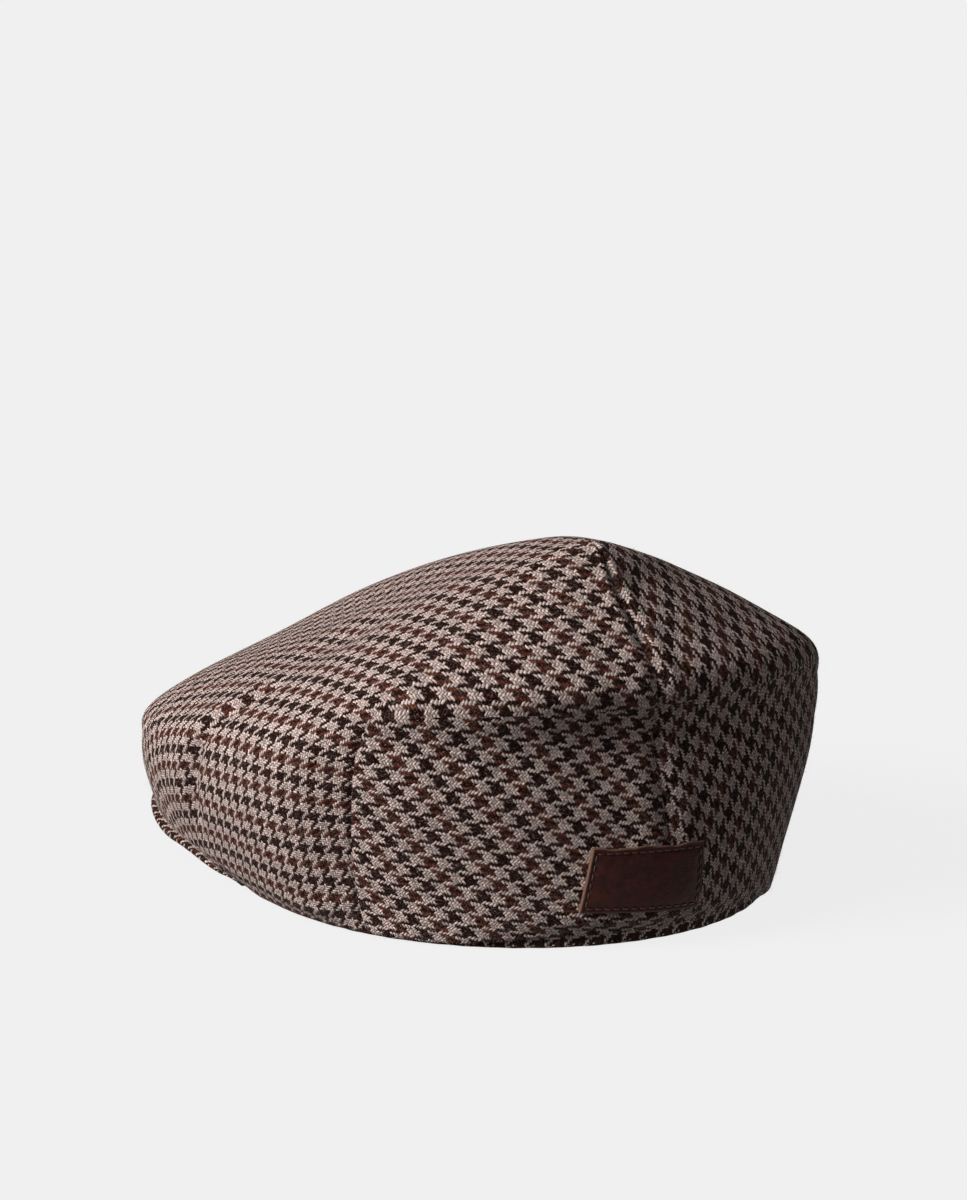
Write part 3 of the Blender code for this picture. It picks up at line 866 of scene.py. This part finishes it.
def leather(name):
    """Waxed brown leather: a dark, finely grained face with soft creases and a satin shine, and
    a paler raw cut edge where the fibres show."""
    material, tree, shader = new_material(name)
    flat = add(tree, "ShaderNodeUVMap", uv_map="cloth")
    place = add(tree, "ShaderNodeSeparateXYZ", {0: flat})
    inside = None
    for axis, size in ((0, PATCH_WIDTH), (1, PATCH_HEIGHT)):
        value = place.node.outputs[axis]
        other = add(tree, MATH, {0: size, 1: value}, operation="SUBTRACT")
        nearest = add(tree, MATH, {0: value, 1: other}, operation="MINIMUM")
        inside = nearest if inside is None else add(tree, MATH, {0: inside, 1: nearest},
                                                    operation="MINIMUM")
    blotch = add(tree, NOISE, {"Vector": flat, "Scale": 260.0, "Detail": 4.0, "Roughness": 0.6})
    cloudy = add(tree, NOISE, {"Vector": flat, "Scale": 1500.0, "Detail": 3.0})
    grain = add(tree, "ShaderNodeTexVoronoi", {"Vector": flat, "Scale": 1300.0},
                feature="DISTANCE_TO_EDGE")
    tone = add(tree, RANGE, {0: blotch, 1: 0.35, 2: 0.68, 3: 0.0, 4: 1.0})
    face = add(tree, MIX, {0: tone, 6: linear("#2E120F"), 7: linear("#4C2019")}, out=2,
               data_type="RGBA")
    frayed = add(tree, MATH, {0: cloudy, 1: 0.0007, 2: inside}, operation="MULTIPLY_ADD")
    raw = add(tree, RANGE, {0: frayed, 1: 0.00062, 2: 0.00092, 3: 1.0, 4: 0.0})
    fibre = add(tree, MIX, {0: cloudy, 6: linear("#4E362C"), 7: linear("#846453")}, out=2,
                data_type="RGBA")
    colour = add(tree, MIX, {0: raw, 6: face, 7: fibre}, out=2, data_type="RGBA")
    tree.links.new(colour, shader.inputs["Base Color"])
    shader.inputs["Specular IOR Level"].default_value = 0.14
    rough = add(tree, RANGE, {0: blotch, 1: 0.3, 2: 0.7, 3: 0.46, 4: 0.64})
    rough = add(tree, MATH, {0: raw, 1: 0.3, 2: rough}, operation="MULTIPLY_ADD")
    tree.links.new(rough, shader.inputs["Roughness"])
    pebble = add(tree, RANGE, {0: grain, 1: 0.0, 2: 0.12, 3: 0.0, 4: 1.0})
    relief = add(tree, MATH, {0: cloudy, 1: 0.8, 2: pebble}, operation="MULTIPLY_ADD")
    bent = add(tree, "ShaderNodeBump", {"Height": relief, "Strength": 0.5, "Distance": 0.00012})
    crease = add(tree, "ShaderNodeBump", {"Height": blotch, "Strength": 0.6,
                                          "Distance": 0.0012, "Normal": bent})
    tree.links.new(crease, shader.inputs["Normal"])
    return material


def plain(name, colour, roughness):
    """A material of one colour, for fibres and threads too fine to show more."""
    material, _, shader = new_material(name)
    shader.inputs["Base Color"].default_value = linear(colour)
    shader.inputs["Roughness"].default_value = roughness
    return material


def thread(name):
    """Waxed sewing thread: tightly twisted, nearly as dark as the leather that it holds."""
    return plain(name, "#3A2016", 0.5)


def wool_fibre(name):
    """Loose wool fibre: pale, dull and very thin, so it only shows as a soft haze."""
    return plain(name, "#A8978B", 0.8)


def dress(placed, material, nodes):
    """Give a piece its material, hang it under the root body and hide the solids that it stands
    for.
    """
    placed.data.materials.append(material)
    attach(placed, "root")
    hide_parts(*nodes)


def direction(azimuth, elevation):
    """The direction from the cap to a camera or a light, from angles in degrees."""
    azimuth, elevation = math.radians(azimuth), math.radians(elevation)
    return Vector((math.sin(azimuth) * math.cos(elevation),
                   -math.cos(azimuth) * math.cos(elevation), math.sin(elevation)))


# The camera stands behind the cap's left side, a little above it
CAMERA_AZIMUTH = 147.7
CAMERA_ELEVATION = 15.3
CAMERA_DISTANCE = 1.4
METRES_PER_PIXEL = 0.000355  # at the middle of the head opening
PHOTO_SIZE = (967, 1200)
OPENING_PIXEL = (508, 874)   # where that middle lies in the photo


def make_camera():
    back = direction(CAMERA_AZIMUTH, CAMERA_ELEVATION)
    turn = math.radians(CAMERA_AZIMUTH)
    right = Vector((math.cos(turn), math.sin(turn), 0))
    up = back.cross(right)
    middle = Vector(MIDDLE)
    aside = (PHOTO_SIZE[0] / 2 - OPENING_PIXEL[0]) * METRES_PER_PIXEL
    above = (OPENING_PIXEL[1] - PHOTO_SIZE[1] / 2) * METRES_PER_PIXEL
    aim = middle + right * aside + up * above
    data = bpy.data.cameras.new("camera")
    camera = bpy.data.objects.new("camera", data)
    bpy.context.scene.collection.objects.link(camera)
    camera.location = middle + back * CAMERA_DISTANCE
    sight = aim - camera.location
    camera.rotation_euler = sight.to_track_quat("-Z", "Y").to_euler()
    data.sensor_fit = "VERTICAL"
    data.sensor_width = data.sensor_height = 36.0
    data.lens = 36.0 * sight.length / (PHOTO_SIZE[1] * METRES_PER_PIXEL)
    data.clip_start, data.clip_end = 0.05, 50.0
    bpy.context.scene.camera = camera


FLOOR_REACH = 30
FLOOR_GLOW = 0.825


def make_floor():
    """A plain pale floor with a light of its own, so that it stays one tone."""
    reach = FLOOR_REACH
    floor = new_mesh("floor", [(-reach, -reach, 0), (reach, -reach, 0), (reach, reach, 0),
                               (-reach, reach, 0)], [(0, 1, 2, 3)])
    material, _, shader = new_material("pale_floor")
    shader.inputs["Base Color"].default_value = linear("#484848")
    shader.inputs["Roughness"].default_value = 0.95
    shader.inputs["Specular IOR Level"].default_value = 0.0
    shader.inputs["Emission Color"].default_value = (1.0, 1.0, 1.0, 1.0)
    shader.inputs["Emission Strength"].default_value = FLOOR_GLOW
    floor.data.materials.append(material)
    floor.visible_diffuse = False


KEY_AZIMUTH = 81
KEY_ELEVATION = 29
KEY_STRENGTH = 3.9
KEY_SOFTNESS = 30           # degrees across
FILL_STRENGTH = 0.11


def make_key():
    """A large, far light from the cap's left: it lights the floor evenly, with soft shadows."""
    data = bpy.data.lights.new("key", "SUN")
    data.angle = math.radians(KEY_SOFTNESS)
    data.energy = KEY_STRENGTH
    placed = bpy.data.objects.new("key", data)
    towards = direction(KEY_AZIMUTH, KEY_ELEVATION)
    placed.rotation_euler = towards.to_track_quat("Z", "Y").to_euler()
    bpy.context.scene.collection.objects.link(placed)


def make_studio():
    make_floor()
    make_key()
    world = bpy.data.worlds.new("studio")
    world.use_nodes = True
    sky = world.node_tree.nodes["Background"]
    sky.inputs["Color"].default_value = linear("#FFFFFF")
    sky.inputs["Strength"].default_value = FILL_STRENGTH
    bpy.context.scene.world = world
    bpy.context.scene.view_settings.view_transform = "Standard"
    bpy.context.scene.view_settings.look = "None"


make_camera()
make_studio()
cloth = tweed("houndstooth_tweed")
dress(make_crown(), cloth, ["crown"])
dress(make_hairs(), wool_fibre("wool_fibre"), ["crown"])
dress(make_peak(), cloth, ["peak"])
# Painted light: the hem uses a lighter copy of the same tweed. Both its light and its dark yarns
# are brightened, so that the shaded hem strip reads as lit beneath the crown's dark fold line.
hem_tweed_painted_light = tweed("turned_tweed_hem", light="#E6D4CB", dark="#3A211A")
dress(make_hem(), hem_tweed_painted_light, ["hem_band"])
dress(make_patch(), leather("brown_leather"), ["patch"])
dress(make_patch_stitches(), thread("waxed_thread"), ["patch"])
